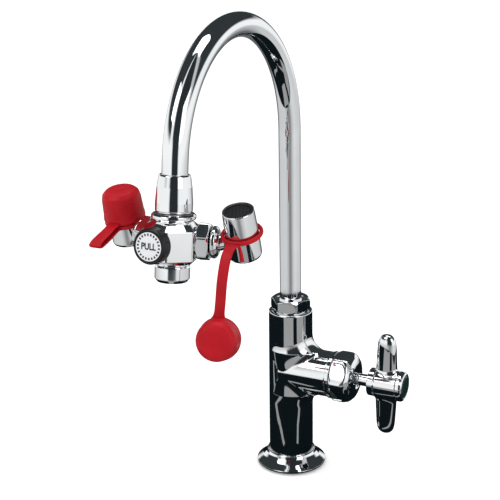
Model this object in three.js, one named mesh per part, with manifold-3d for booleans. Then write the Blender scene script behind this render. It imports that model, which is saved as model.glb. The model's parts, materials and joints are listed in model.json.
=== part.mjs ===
// A deck-mounted gooseneck faucet that carries a twin-head eyewash with a pull knob and tethered dust caps.
// Millimetres, +Z up. The origin is the centre of the column on the deck. The spout reaches towards -Y,
// the valve branch and its handle point towards +X, and the shank hangs below the deck.

import * as THREE from 'three';
import { ConvexGeometry } from 'three/addons/geometries/ConvexGeometry.js';
import { mergeVertices } from 'three/addons/utils/BufferGeometryUtils.js';
import Module from 'manifold-3d';

const wasm = await Module();
wasm.setup();

// ---- driving dimensions -------------------------------------------------------------------------------

const GAP = 0.3;                    // clearance between pieces that touch
const TUBE_R = 8.55;                // 3/8 iron-pipe-size tube, outside radius
const TUBE_WALL = 1.2;
const RISER_TOP = 281;              // height where the arch starts
const ARCH_R = 87;                  // centreline radius of the arch
const ARCH_LEAN = 7;                // degrees that the outlet leg leans outwards from vertical
const SOCKET_FLOOR = 108;           // bottom of the tube's socket in the column

const COLUMN_R = 18;
const COLUMN_TOP = 135;
const SPIGOT_R = 11.5;
const SPIGOT_TOP = 141.2;
const BORE_R = 9;                   // socket bore, a running fit round the tube
const WATERWAY_R = 5.5;
const FLANGE_R = 28.4;
const NUT_AF = 28.7;
const NUT_TURN = -19.5;             // degrees that the swivel nut is turned when tight

const DECK_THICKNESS = 32;
const SHANK_R = 10.4;
const SHANK_END = -58;

const VALVE_Z = 84;                 // height of the valve's axis
const BRANCH_R = 18.3;
const BRANCH_END = 40;
const BONNET_AF = 37;
const BONNET_END = 58;
const HUB_START = 68.5;
const HUB_END = 98;
const HUB_R = 11.8;
const ARM_X = 82.5;                 // plane of the handle's two arms
const ARM_REACH = 41.8;

const SLEEVE_TOP = 8.6;             // distances along the outlet leg, from the end of the arch
const SLEEVE_END = 33;
const COLLAR_END = 37.6;
const BODY_SHOULDER = 43;
const BODY_FOOT = 62.5;
const BODY_END = 66.5;
const OUTLET_END = 77.8;
const OUTLET_R = 11.45;
const SWEEP = 17;                   // degrees that the two arms sweep back
const ARM_LEVEL = 50.6;             // the arms' axis, along the outlet leg
const HEAD_RAISE = 1.6;             // the heads' reference point above the arms' axis
const PIVOT_X = 43.5;
const PIVOT_BACK = 13.3;
const SIDE_FACE = 16.1;             // distances along an arm, from the outlet axis
const BOSS_END = 20.5;
const UNION_END = 24.6;
const ARM_END = 33.9;
const KNOB_LEVEL = 51;
const KNOB_FACE = 30.4;
const KNOB_R = 11.4;
const KNOB_DEPTH = 9.2;
const FACE_FRONT = 20;              // front face of the block, ahead of the outlet axis

const HEAD_R = 10.7;
const HEAD_RIM_R = 10.3;
const HEAD_TOP = 23.2;              // distances along a head's axis, from its pivot
const HEAD_SPLIT = 4;
const HEAD_BOTTOM = -11;
const RING_Z = { left: 5.6, right: 6.2 };
const RING_R = 12.35;
const RING_SECTION = 1.55;
const HEAD_LEAN = { left: 19.5, right: 24 };

const CAP_LENGTH = 20.8;
const CAP_MOUTH_R = 13.9;
const CAP_CROWN_R = 12.9;
const CAP_WALL = 1.6;
const STRAP_WIDTH = 7.2;
const STRAP_THICK = 1.6;
const CAP_SEAT = 7.4;                // mouth of the fitted cap, along its head's axis
const HANGING_MOUTH = [42, -198.4, 186.9];

// ---- materials ----------------------------------------------------------------------------------------

function material(color, roughness, metalness) {
  return new THREE.MeshStandardMaterial({ color, roughness, metalness });
}

const chrome = () => material(0xd9dcde, 0.06, 1);
const brass = () => material(0xb79a5a, 0.35, 1);
const steel = () => material(0xa8aaad, 0.3, 1);
const rubber = () => material(0x1b1b1c, 0.8, 0);
const blackPlastic = () => material(0x15171a, 0.4, 0);
const whiteLabel = () => material(0xe9eaec, 0.5, 0);
const redVinyl = () => material(0xb01c29, 0.45, 0);
const greenPlastic = () => material(0x10302c, 0.35, 0);

// ---- geometry helpers ---------------------------------------------------------------------------------

const rad = THREE.MathUtils.degToRad;

function toSolid(geometry) {
  const bare = geometry.clone();
  bare.deleteAttribute('normal');
  bare.deleteAttribute('uv');
  const merged = mergeVertices(bare, 1e-4);
  return new wasm.Manifold(new wasm.Mesh({
    numProp: 3,
    vertProperties: new Float32Array(merged.attributes.position.array),
    triVerts: new Uint32Array(merged.index.array),
  }));
}

function toGeometry(solid) {
  const mesh = solid.getMesh();
  const geometry = new THREE.BufferGeometry();
  geometry.setAttribute('position', new THREE.BufferAttribute(mesh.vertProperties, 3));
  geometry.setIndex(new THREE.BufferAttribute(mesh.triVerts, 1));
  geometry.computeVertexNormals();
  return geometry;
}

function combine(base, added, removed) {
  let solid = toSolid(base);
  for (const geometry of added) {
    solid = solid.add(toSolid(geometry));
  }
  for (const geometry of removed) {
    solid = solid.subtract(toSolid(geometry));
  }
  return toGeometry(solid);
}

function common(first, second) {
  return toGeometry(toSolid(first).intersect(toSolid(second)));
}

// A turned solid about +Z. The profile is a list of [radius, height] from low to high along the outside.
function turned(profile, segments = 20) {
  const points = profile.map(([r, z]) => new THREE.Vector2(r, z));
  const geometry = new THREE.LatheGeometry(points, segments);
  geometry.rotateX(Math.PI / 2);
  return geometry;
}

// A turned ring: the outside profile, closed by a bore of the given radius.
function ring(outside, bore, segments = 20) {
  const low = outside[0][1];
  const high = outside[outside.length - 1][1];
  return turned([[bore, low], ...outside, [bore, high], [bore, low]], segments);
}

// A turned plug: the outside profile, closed on the axis at both ends.
function plug(outside, segments = 20) {
  const low = outside[0][1];
  const high = outside[outside.length - 1][1];
  return turned([[0, low], ...outside, [0, high]], segments);
}

function rod(radius, low, high, segments = 16) {
  return plug([[radius, low], [radius, high]], segments);
}

// Turns a piece made about +Z so that its axis lies along +X.
function alongX(geometry) {
  return geometry.rotateY(Math.PI / 2);
}

// Turns a piece made about +Z so that its axis lies along -Y.
function alongFront(geometry) {
  return geometry.rotateX(Math.PI / 2);
}

function hexPrism(acrossFlats, low, high) {
  const corner = acrossFlats / Math.sqrt(3);
  return turned([[0, low], [corner, low], [corner, high], [0, high]], 6);
}

// A hex nut with rounded corners and a bore.
function hexNut(acrossFlats, low, high, bore, chamfer = 1.2) {
  const corner = acrossFlats / Math.sqrt(3);
  const drop = corner - acrossFlats / 2;
  const limit = plug([
    [acrossFlats / 2, low], [corner - drop * 0.25, low + chamfer],
    [corner - drop * 0.25, high - chamfer], [acrossFlats / 2, high],
  ], 24);
  const body = common(hexPrism(acrossFlats, low, high), limit);
  return combine(body, [], [rod(bore, low - 1, high + 1, 18)]);
}

// A coil spring: a round wire along a helix about +Z.
class Helix extends THREE.Curve {
  constructor(radius, pitch, turns) {
    super();
    this.radius = radius;
    this.pitch = pitch;
    this.turns = turns;
  }

  getPoint(t) {
    const angle = 2 * Math.PI * this.turns * t;
    return new THREE.Vector3(
      this.radius * Math.cos(angle),
      this.radius * Math.sin(angle),
      this.pitch * this.turns * t,
    );
  }
}

function circleShape(radius, sides) {
  const points = [];
  for (let i = 0; i < sides; i += 1) {
    const angle = (2 * Math.PI * i) / sides;
    points.push(new THREE.Vector2(radius * Math.cos(angle), radius * Math.sin(angle)));
  }
  return new THREE.Shape(points);
}

function sweep(shape, curve, steps) {
  const options = { extrudePath: curve, steps, curveSegments: 8, bevelEnabled: false };
  return new THREE.ExtrudeGeometry(shape, options);
}

function piece(name, geometry, finish) {
  const mesh = new THREE.Mesh(geometry, finish);
  mesh.name = name;
  return mesh;
}

// ---- deck mounting ------------------------------------------------------------------------------------

function deckGasket() {
  return ring([[25, 0], [25, 1.2]], SHANK_R + 1.4);
}

function baseFlange() {
  const outside = [
    [FLANGE_R - 0.6, 1.5], [FLANGE_R, 2.1], [FLANGE_R, 3.2], [FLANGE_R - 2, 4.6],
    [20.4, 10.8], [19.2, 12.6], [18.5, 12.9],
  ];
  return ring(outside, COLUMN_R + GAP, 24);
}

function mountingShank() {
  return ring([
    [SHANK_R - 1, SHANK_END], [SHANK_R, SHANK_END + 1], [SHANK_R, 13.4],
  ], 6);
}

function deckWasher() {
  return ring([[22, -DECK_THICKNESS - 2.5], [22, -DECK_THICKNESS]], SHANK_R + GAP, 20);
}

function shankLocknut() {
  const top = -DECK_THICKNESS - 2.5 - GAP;
  return hexNut(33, top - 9, top, SHANK_R + GAP);
}

// ---- column and valve ---------------------------------------------------------------------------------

function columnBody() {
  const column = plug([
    [COLUMN_R, 1.5], [COLUMN_R, 40], [COLUMN_R - 0.4, COLUMN_TOP - 0.8], [COLUMN_R - 1.2, COLUMN_TOP],
    [SPIGOT_R, COLUMN_TOP], [SPIGOT_R, SPIGOT_TOP],
  ], 24);
  const branch = alongX(plug([
    [BRANCH_R, 0], [BRANCH_R, 36], [BRANCH_R + 0.7, 37], [BRANCH_R + 0.7, BRANCH_END],
    [14.3, BRANCH_END], [14.3, BRANCH_END + 6],
  ], 24));
  const flare = alongX(plug([[26, 13], [21.6, 17.5], [19.2, 23], [18, 30]], 20));
  flare.scale(1, 0.69, 1);
  const toAxis = (geometry) => geometry.translate(0, 0, VALVE_Z);
  const socket = rod(BORE_R, SOCKET_FLOOR, SPIGOT_TOP + 1, 18);
  const ringGroove = rod(10.9, 115.4, 118.6, 18);
  const shankBore = rod(SHANK_R + GAP, 0, 13.8, 18);
  const lower = rod(WATERWAY_R, 10, VALVE_Z, 16);
  const upper = rod(WATERWAY_R, VALVE_Z + 13, SOCKET_FLOOR + 1, 16);
  const inlet = toAxis(alongX(rod(5, -2, 24, 16)));
  const seatPocket = toAxis(alongX(rod(8.7, 20.4, 28, 18)));
  const chamber = toAxis(alongX(rod(11.5, 26.4, BRANCH_END + 7, 18)));
  const riser = alongX(rod(3.4, -3, 30, 12)).translate(0, 0, VALVE_Z + 14.8);
  const riserMouth = rod(3.4, VALVE_Z + 5, VALVE_Z + 15, 12).translate(29, 0, 0);
  const added = [toAxis(branch), toAxis(flare)];
  const waterways = [lower, upper, inlet, riser, riserMouth];
  return combine(column, added, [socket, ringGroove, shankBore, seatPocket, chamber, ...waterways]);
}

function swivelNut() {
  const low = 136.2;
  const high = 145;
  const blank = hexNut(NUT_AF, low, high, TUBE_R + GAP);
  const thread = rod(SPIGOT_R + GAP, low - 1, 143, 18);
  return combine(blank, [], [thread]).rotateZ(rad(NUT_TURN));
}

function tubeORing() {
  const section = 0.8;
  const middle = TUBE_R + 0.25 + section;
  const profile = [];
  for (let i = 0; i <= 6; i += 1) {
    const angle = (2 * Math.PI * i) / 6;
    profile.push([middle + section * Math.cos(angle), 117 + section * Math.sin(angle)]);
  }
  return turned(profile, 24);
}

function valveSeat() {
  return ring([[8.4, 20.8], [8.4, 25], [7.2, 26.2], [6, 26.2]], 4.6, 20);
}

function seatWasher() {
  return ring([[8, 26.6], [8, 29.4]], 2.2, 20);
}

// The disc that carries the washer: a screw head in front, a plate and a socket for the stem's tip.
function valveDisc() {
  return plug([[1.9, 26.8], [1.9, 29.7], [8.4, 29.7], [8.4, 32.4], [5.5, 33.2], [5.5, 35.2]], 20);
}

function bonnet() {
  const corner = BONNET_AF / Math.sqrt(3);
  const low = BRANCH_END + GAP;
  const limit = plug([
    [19.2, low], [20.6, low + 1.6], [20.8, 50], [19.4, 53.4], [16.2, 56.2], [11, BONNET_END],
  ], 24);
  const blank = common(hexPrism(BONNET_AF, low, BONNET_END), limit);
  const thread = rod(14.3 + GAP, low - 1, BRANCH_END + 6.4, 18);
  const stemBore = rod(7.9, low, 51.6, 18);
  const packingBore = rod(7.2, 51, 55.4, 18);
  const neck = rod(5.1, 50, BONNET_END + 1, 20);
  return combine(blank, [], [thread, stemBore, packingBore, neck]);
}

function stemPacking() {
  return ring([[6.9, 51.7], [6.9, 55.1]], 5.1, 20);
}

function valveStem() {
  const stem = plug([
    [4.6, 35.5], [4.6, 39], [7.6, 39.4], [7.6, 47.6], [4.8, 48], [4.8, HUB_START - 0.5],
    [3.9, HUB_START - 0.4], [3.9, 89.2],
  ], 20);
  return combine(stem, [], [rod(2.1, 80, 90, 12)]);
}

function handle() {
  const hub = plug([
    [9.4, HUB_START], [11, HUB_START + 1], [11.2, 74], [HUB_R, 76], [HUB_R, HUB_END - 2.2],
    [HUB_R - 0.8, HUB_END - 0.6], [HUB_R - 2.2, HUB_END],
  ], 24);
  const bores = [rod(4.2, HUB_START - 1, 89.5, 16), rod(2.2, 89, 94, 12), rod(9.1, 92.6, HUB_END + 1, 18)];
  const arms = [handleArm(1), handleArm(-1)];
  return combine(alongX(hub), arms, bores.map(alongX));
}

// One tapered arm with an oval section and a rounded tip, pointing up or down.
function handleArm(side) {
  const arm = plug([
    [8.8, 9], [8.4, 17], [7.9, 26], [7.2, 34], [6.2, 38.2], [4, 40.8], [1.6, ARM_REACH],
  ], 20);
  arm.scale(1, 0.72, 1);
  if (side < 0) arm.rotateX(Math.PI);
  return arm.translate(ARM_X, 0, 0);
}

function handleScrew() {
  return plug([[1.8, 82], [1.8, 92.9], [4.3, 92.9], [4.3, 95]], 16);
}

function indexButton() {
  return plug([[8.8, 95.4], [8.8, 97.6], [7.4, 98.4]], 20);
}

// ---- gooseneck ----------------------------------------------------------------------------------------

class Gooseneck extends THREE.Curve {
  constructor(start, end) {
    super();
    this.riser = RISER_TOP - start;
    this.start = start;
    this.arc = ARCH_R * rad(180 - ARCH_LEAN);
    this.length = this.riser + this.arc + end;
  }

  getPoint(t) {
    const s = t * this.length;
    if (s < this.riser) return new THREE.Vector3(0, 0, this.start + s);
    const angle = Math.min((s - this.riser) / ARCH_R, rad(180 - ARCH_LEAN));
    const past = Math.max(s - this.riser - this.arc, 0);
    return new THREE.Vector3(
      0,
      -ARCH_R + ARCH_R * Math.cos(angle) - past * Math.sin(rad(ARCH_LEAN)),
      RISER_TOP + ARCH_R * Math.sin(angle) - past * Math.cos(rad(ARCH_LEAN)),
    );
  }

  // The curve stays in one plane, so its frames never twist.
  computeFrenetFrames(segments) {
    const frames = { tangents: [], normals: [], binormals: [] };
    for (let i = 0; i <= segments; i += 1) {
      const tangent = this.getTangentAt(i / segments);
      const normal = new THREE.Vector3(1, 0, 0);
      frames.tangents.push(tangent);
      frames.normals.push(normal);
      frames.binormals.push(new THREE.Vector3().crossVectors(tangent, normal));
    }
    return frames;
  }
}

function tubeBody() {
  const start = SOCKET_FLOOR + GAP;
  const end = SLEEVE_TOP + 16;
  const section = circleShape(TUBE_R, 14);
  section.holes.push(new THREE.Path(circleShape(TUBE_R - TUBE_WALL, 10).getPoints()));
  return sweep(section, new Gooseneck(start, end), 36);
}

// ---- eyewash, about the outlet leg: +Z points back up the leg and -Y to the front ---------------------

function outletCoupling() {
  const outside = [
    [11.4, -SLEEVE_END], [12.2, -SLEEVE_END + 1.2], [12.2, -26], [11.4, -16],
    [10.3, -SLEEVE_TOP - 0.6], [9.8, -SLEEVE_TOP],
  ];
  const blank = ring(outside, TUBE_R + GAP, 24);
  return combine(blank, [], [rod(9.6, -SLEEVE_END - 1, -SLEEVE_TOP - 16.4, 18)]);
}

function inletCollar() {
  const low = -COLLAR_END;
  return ring([
    [13.2, low], [14.5, low + 0.9], [14.5, low + 3.2], [13.6, -SLEEVE_END - GAP],
  ], 10.4, 20);
}

function inletGasket() {
  return ring([[10.1, -36.8], [10.1, -34.8]], 6.6, 20);
}

function armAxis(side) {
  const back = Math.tan(rad(SWEEP));
  return new THREE.Vector3(side, back, 0).normalize();
}

// Turns a piece made about +Z so that it points out along one arm, at the arms' level.
function alongArm(geometry, side) {
  const turn = new THREE.Quaternion().setFromUnitVectors(new THREE.Vector3(0, 0, 1), armAxis(side));
  return geometry.applyQuaternion(turn).translate(0, 0, -ARM_LEVEL);
}

// The block's plan: a narrow front face, two slanted front corners, and sides that narrow towards the back.
function blockOutline() {
  const right = [[6.4, -FACE_FRONT], [18.4, -6.8], [12, 15.8]];
  const left = right.map(([x, y]) => [-x, y]);
  return [...right, ...left];
}

function eyewashBody() {
  const points = [];
  const level = (outline, z) => outline.forEach(([x, y]) => points.push(new THREE.Vector3(x, y, z)));
  level(blockOutline(), -BODY_SHOULDER);
  level(blockOutline(), -BODY_FOOT);
  level(circleOutline(12.6), -COLLAR_END - GAP);
  level(circleOutline(11.4), -BODY_END);
  const block = new ConvexGeometry(points);
  const bosses = [1, -1].map((side) => alongArm(rod(8.2, 8, BOSS_END, 18), side));
  const removed = [
    rod(WATERWAY_R, -COLLAR_END - 6, -COLLAR_END + 1, 20),
    rod(6, -50, -COLLAR_END - 4, 20),
    rod(6, -BODY_END - 1, -50, 20),
    rod(9.4, -BODY_END - 1, -BODY_END + 3, 18),
    alongFront(rod(7.6, -8, 13, 18)).translate(0, 0, -KNOB_LEVEL),
    alongFront(rod(5.3, 12, FACE_FRONT + 1, 20)).translate(0, 0, -KNOB_LEVEL),
    alongArm(rod(4.4, 0, BOSS_END + 1, 20), 1),
    alongArm(rod(4.4, 0, BOSS_END + 1, 20), -1),
  ];
  return combine(block, bosses, removed);
}

function circleOutline(radius) {
  const outline = [];
  for (let i = 0; i < 14; i += 1) {
    const angle = (2 * Math.PI * (i + 0.5)) / 14;
    outline.push([radius * Math.cos(angle), radius * Math.sin(angle)]);
  }
  return outline;
}

function outletShell() {
  return ring([
    [OUTLET_R - 2, -OUTLET_END], [OUTLET_R, -OUTLET_END + 2], [OUTLET_R, -BODY_END - 1.4],
    [OUTLET_R - 0.5, -BODY_END - GAP],
  ], 8.2, 20);
}

function screen(radius, low, high) {
  return plug([[radius, low], [radius, high]], 20);
}

function knobGland() {
  const low = 13.4;
  return alongFront(ring([[4.9, low], [4.9, FACE_FRONT + 0.4]], 2.6, 20)).translate(0, 0, -KNOB_LEVEL);
}

function diverterStem() {
  const stem = plug([[2.2, -5.4], [2.2, KNOB_FACE - 3.2]], 16);
  return alongFront(stem).translate(0, 0, -KNOB_LEVEL);
}

function diverterSeal() {
  return alongFront(ring([[7, -4.6], [7, -1.8]], 2.5, 20)).translate(0, 0, -KNOB_LEVEL);
}

function diverterSpring() {
  const coil = sweep(circleShape(0.45, 5), new Helix(4.1, 2.6, 5), 40);
  return alongFront(coil).translate(0, 1, -KNOB_LEVEL);
}

function pullKnob() {
  const low = KNOB_FACE - KNOB_DEPTH;
  const knob = plug([
    [KNOB_R - 1, low], [KNOB_R, low + 1], [KNOB_R, KNOB_FACE - 1.4], [KNOB_R - 0.5, KNOB_FACE - 0.4],
    [KNOB_R - 1.3, KNOB_FACE],
  ], 24);
  const recess = rod(9.6, KNOB_FACE - 0.9, KNOB_FACE + 1, 18);
  const bore = rod(2.5, low - 1, KNOB_FACE - 2.9, 16);
  return alongFront(combine(knob, [], [recess, bore])).translate(0, 0, -KNOB_LEVEL);
}

function knobLabel() {
  return alongFront(rod(9.3, KNOB_FACE - 0.6, KNOB_FACE - 0.05, 18)).translate(0, 0, -KNOB_LEVEL);
}

function unionNut(side) {
  const blank = hexNut(22.6, SIDE_FACE + 0.4, UNION_END, 7.1, 0.9);
  const thread = rod(8.5, SIDE_FACE, BOSS_END + 2.8, 18);
  return alongArm(combine(blank, [], [thread]), side);
}

// The arm: a flange held in the union nut, a rounded collar, and a neck that reaches the spray head.
function arm(side) {
  const flange = BOSS_END + 1.4;
  const collar = UNION_END + GAP;
  const tube = ring([
    [8.2, flange], [8.2, flange + 1.2], [6.8, flange + 1.2], [6.8, collar], [9, collar],
    [10.4, collar + 1.3], [10.4, collar + 3.2], [8.8, collar + 4.6], [5.2, collar + 5.2], [5.2, 30.6],
    [3.9, 30.9], [3.9, ARM_END],
  ], 3.2, 16);
  return alongArm(tube, side);
}

function armORing(side) {
  const profile = [];
  for (let i = 0; i <= 6; i += 1) {
    const angle = (2 * Math.PI * i) / 6;
    profile.push([6.2 + 0.4 * Math.cos(angle), BOSS_END + 0.7 + 0.35 * Math.sin(angle)]);
  }
  return alongArm(turned(profile, 24), side);
}

// ---- spray heads, about their own axes: +Z towards the spray, the arm comes in at z = 0 ---------------

function headBody() {
  const blank = plug([
    [HEAD_R - 2.6, HEAD_BOTTOM], [HEAD_R - 1, HEAD_BOTTOM + 0.6], [HEAD_R + 0.1, HEAD_BOTTOM + 2.2],
    [HEAD_R + 0.2, HEAD_SPLIT],
  ], 24);
  return combine(blank, [], [rod(7.4, -5, HEAD_SPLIT + 1, 18)]);
}

function headShell() {
  const bottom = HEAD_SPLIT + GAP;
  return ring([
    [HEAD_R + 0.2, bottom], [HEAD_RIM_R, HEAD_TOP - 0.5], [HEAD_RIM_R - 0.5, HEAD_TOP],
  ], HEAD_RIM_R - 1.7, 20);
}

function headScreen() {
  return screen(HEAD_RIM_R - 2, HEAD_TOP - 4.6, HEAD_TOP - 2.6);
}

function capRing(level) {
  const profile = [];
  for (let i = 0; i <= 6; i += 1) {
    const angle = (2 * Math.PI * i) / 6;
    const across = 0.8 * RING_SECTION * Math.cos(angle);
    profile.push([RING_R + 0.1 + across, level + RING_SECTION * Math.sin(angle)]);
  }
  return turned(profile, 24);
}

// The thimble: crown up, mouth at z = 0. The profile runs down the inside and up the outside.
function dustCap() {
  const top = CAP_LENGTH - CAP_WALL;
  const innerCrown = CAP_CROWN_R - CAP_WALL;
  return turned([
    [0, top], [innerCrown - 6, top], [innerCrown - 3, top - 0.8], [innerCrown - 0.6, top - 3.4],
    [CAP_MOUTH_R - CAP_WALL, 3.4], [CAP_MOUTH_R - CAP_WALL, 0],
    [CAP_MOUTH_R, 0], [CAP_MOUTH_R, 1.2], [CAP_MOUTH_R - 0.4, 4],
    [CAP_CROWN_R, CAP_LENGTH - 6], [CAP_CROWN_R - 1.2, CAP_LENGTH - 3], [CAP_CROWN_R - 4, CAP_LENGTH - 0.7],
    [CAP_CROWN_R - 7.5, CAP_LENGTH], [0, CAP_LENGTH],
  ], 24);
}

// A flat route: the strap's width keeps to the X direction all the way.
class FlatRoute extends THREE.CatmullRomCurve3 {
  computeFrenetFrames(segments) {
    const frames = { tangents: [], normals: [], binormals: [] };
    for (let i = 0; i <= segments; i += 1) {
      const tangent = this.getTangentAt(i / segments);
      const binormal = new THREE.Vector3().crossVectors(tangent, new THREE.Vector3(1, 0, 0)).normalize();
      frames.tangents.push(tangent);
      frames.normals.push(new THREE.Vector3().crossVectors(binormal, tangent));
      frames.binormals.push(binormal);
    }
    return frames;
  }
}

function strapAlong(points, steps) {
  const across = STRAP_WIDTH / 2;
  const through = STRAP_THICK / 2;
  const corners = [[-across, -through], [across, -through], [across, through], [-across, through]];
  const shape = new THREE.Shape(corners.map(([x, y]) => new THREE.Vector2(x, y)));
  return sweep(shape, new FlatRoute(points.map((p) => new THREE.Vector3(...p))), steps);
}

// ---- the assembly -------------------------------------------------------------------------------------

function faucet() {
  const group = new THREE.Group();
  group.add(
    piece('deck_gasket', deckGasket(), rubber()),
    piece('base_flange', baseFlange(), chrome()),
    piece('mounting_shank', mountingShank(), brass()),
    piece('deck_washer', deckWasher(), steel()),
    piece('shank_locknut', shankLocknut(), brass()),
    piece('column_body', columnBody(), chrome()),
    piece('swivel_nut', swivelNut(), chrome()),
    piece('gooseneck_o_ring', tubeORing(), rubber()),
    piece('gooseneck_tube', tubeBody(), chrome()),
  );
  return group;
}

function valve() {
  const group = new THREE.Group();
  group.position.z = VALVE_Z;
  group.add(
    piece('valve_seat', alongX(valveSeat()), brass()),
    piece('seat_washer', alongX(seatWasher()), rubber()),
    piece('valve_disc', alongX(valveDisc()), brass()),
    piece('bonnet', alongX(bonnet()), chrome()),
    piece('stem_packing', alongX(stemPacking()), rubber()),
    piece('valve_stem', alongX(valveStem()), brass()),
    piece('handle', handle(), chrome()),
    piece('handle_screw', alongX(handleScrew()), steel()),
    piece('index_button', alongX(indexButton()), greenPlastic()),
  );
  return group;
}

function sprayHead(side) {
  const sign = side === 'left' ? -1 : 1;
  const group = new THREE.Group();
  group.position.set(sign * PIVOT_X, PIVOT_BACK, HEAD_RAISE - ARM_LEVEL);
  group.rotation.x = rad(HEAD_LEAN[side]);
  group.add(
    piece(`${side}_head_body`, headBody(), chrome()),
    piece(`${side}_head_shell`, headShell(), chrome()),
    piece(`${side}_head_screen`, headScreen(), blackPlastic()),
    piece(`${side}_cap_ring`, capRing(RING_Z[side]), redVinyl()),
  );
  return group;
}

function eyewash() {
  const group = new THREE.Group();
  const turn = rad(180 - ARCH_LEAN);
  group.position.set(0, -ARCH_R + ARCH_R * Math.cos(turn), RISER_TOP + ARCH_R * Math.sin(turn));
  group.rotation.x = -rad(ARCH_LEAN);
  group.add(
    piece('outlet_coupling', outletCoupling(), chrome()),
    piece('inlet_collar', inletCollar(), chrome()),
    piece('inlet_gasket', inletGasket(), rubber()),
    piece('eyewash_body', eyewashBody(), chrome()),
    piece('outlet_shell', outletShell(), chrome()),
    piece('outlet_screen', screen(7.9, -OUTLET_END + 2.4, -OUTLET_END + 4), blackPlastic()),
    piece('knob_gland', knobGland(), chrome()),
    piece('diverter_stem', diverterStem(), steel()),
    piece('diverter_seal', diverterSeal(), rubber()),
    piece('diverter_spring', diverterSpring(), steel()),
    piece('pull_knob', pullKnob(), blackPlastic()),
    piece('knob_label', knobLabel(), whiteLabel()),
  );
  for (const [side, sign] of [['left', -1], ['right', 1]]) {
    group.add(
      piece(`${side}_union_nut`, unionNut(sign), chrome()),
      piece(`${side}_arm`, arm(sign), chrome()),
      piece(`${side}_arm_o_ring`, armORing(sign), rubber()),
      sprayHead(side),
    );
  }
  return group;
}

// The left cap sits on its head, and its strap is folded into a loop in front of it.
function cappedHead(head) {
  const cap = piece('left_dust_cap', dustCap(), redVinyl());
  cap.position.z = CAP_SEAT;
  const strap = strapAlong([
    [0, -15.3, 4.4], [-0.8, -24, 3.3], [-1.6, -31, 2.3], [-2, -34.6, 2.5], [-2, -35.2, 4.5],
    [-1.6, -31.6, 6], [-0.8, -24, 7.3], [0, -15.4, 8.5],
  ], 20);
  head.add(cap, piece('left_cap_strap', strap, redVinyl()));
}

// The right cap hangs on its strap below the ring, with its crown to the front.
function hangingCap() {
  const group = new THREE.Group();
  const crown = new THREE.Vector3(0.341, -0.898, 0.278).normalize();
  const up = new THREE.Vector3(0, 0, 1).addScaledVector(crown, -crown.z).normalize();
  const across = new THREE.Vector3().crossVectors(up, crown);
  const cap = piece('right_dust_cap', dustCap(), redVinyl());
  cap.setRotationFromMatrix(new THREE.Matrix4().makeBasis(across, up, crown));
  cap.position.set(...HANGING_MOUTH);
  const strap = strapAlong([
    [43.5, -183.2, 242.3], [43.4, -188, 239.6], [43, -191.6, 232.6], [42.4, -194.2, 222],
    [41.8, -195.4, 211], [41, -195.4, 202.3],
  ], 16);
  group.add(cap, piece('right_cap_strap', strap, redVinyl()));
  return group;
}

const station = new THREE.Group();
const unit = eyewash();
station.add(faucet(), valve(), unit, hangingCap());
cappedHead(unit.getObjectByName('left_head_body').parent);

export default station;
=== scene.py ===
"""A gooseneck faucet that carries a twin-head eyewash, dressed over its CAD frame. Metres, +Z up."""
import json
import math

import bpy
import numpy as np
from mathutils import Matrix, Vector

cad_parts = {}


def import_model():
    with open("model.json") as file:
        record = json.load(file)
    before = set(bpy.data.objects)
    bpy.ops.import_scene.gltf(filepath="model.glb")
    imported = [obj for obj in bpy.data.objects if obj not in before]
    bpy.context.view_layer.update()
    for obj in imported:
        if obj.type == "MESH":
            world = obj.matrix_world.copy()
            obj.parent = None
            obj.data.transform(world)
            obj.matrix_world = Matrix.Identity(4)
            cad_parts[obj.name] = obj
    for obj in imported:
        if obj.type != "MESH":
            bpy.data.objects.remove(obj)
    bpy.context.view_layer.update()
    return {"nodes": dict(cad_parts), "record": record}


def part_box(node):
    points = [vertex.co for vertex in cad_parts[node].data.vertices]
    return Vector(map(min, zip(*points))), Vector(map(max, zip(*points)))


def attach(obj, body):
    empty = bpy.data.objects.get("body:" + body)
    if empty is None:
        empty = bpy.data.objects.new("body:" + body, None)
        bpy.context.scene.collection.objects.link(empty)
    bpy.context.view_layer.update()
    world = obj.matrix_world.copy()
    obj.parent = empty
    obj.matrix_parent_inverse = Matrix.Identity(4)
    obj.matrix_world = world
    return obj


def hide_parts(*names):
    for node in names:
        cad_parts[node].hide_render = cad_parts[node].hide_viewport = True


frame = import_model()
scene = bpy.context.scene
record = frame["record"]
BODY_OF = {node: body for body, nodes in record["behaviour"]["bodies"].items() for node in nodes}
SLOT_OF = {part["node"]: part["material_slot"] for part in record["subparts"]}

# ---- driving dimensions, in millimetres, and profiles as (radius, height, corner radius) ---------------

MM = 0.001
TUBE_R = 8.55
TUBE_START = 112.0          # the tube's lower end, inside the column
RISER_TOP = 281.0
ARCH_R = 87.0
ARCH_LEAN = math.radians(7)
OUTLET_LEG = 22             # straight tube past the arch
ARM_LEVEL = 50.6
KNOB_LEVEL = 51.0
LABEL_R = 9.3
SWEEP = math.radians(17)    # how far the two arms turn back
PIVOT = Vector((43.5, 13.3, -49.0))
HEAD_LEAN = {"left": math.radians(19.5), "right": math.radians(24)}
SIGN = {"left": -1, "right": 1}
COLUMN_R = 18.0
COLUMN_LOW = 4
COLUMN_TOP = 134.9
BRANCH_R = 18.3
BRANCH_END = 37.2
BONNET_LOW = 40.3
BONNET_END = 58
CAP_SEAT = 7.4
RING_LEVEL = {"left": 5.6, "right": 6.2}
VALVE_Z = sum(corner.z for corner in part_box("bonnet")) / 2 / MM
HUB_R = 11.8
HUB_LOW = 68.6
HUB_END = 93.4
HANDLE_X = 82.5
ARM_WIDTH = 9.2             # half width of a handle arm at the hub
ARM_TAPER = 0.05
ARM_FLATNESS = 0.72
ARM_REACH = 41.8
NUT_TURN = Matrix.Rotation(math.radians(-19.5), 4, "Z")

# ---- mesh fineness -------------------------------------------------------------------------------------

ROUND_STEPS = 5
TURNED_STEPS = 112
HEX_STEPS = 216
BLOCK_STEPS = 324
SMOOTH_TURNS = 10
SETTLE_TURNS = 14


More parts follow.
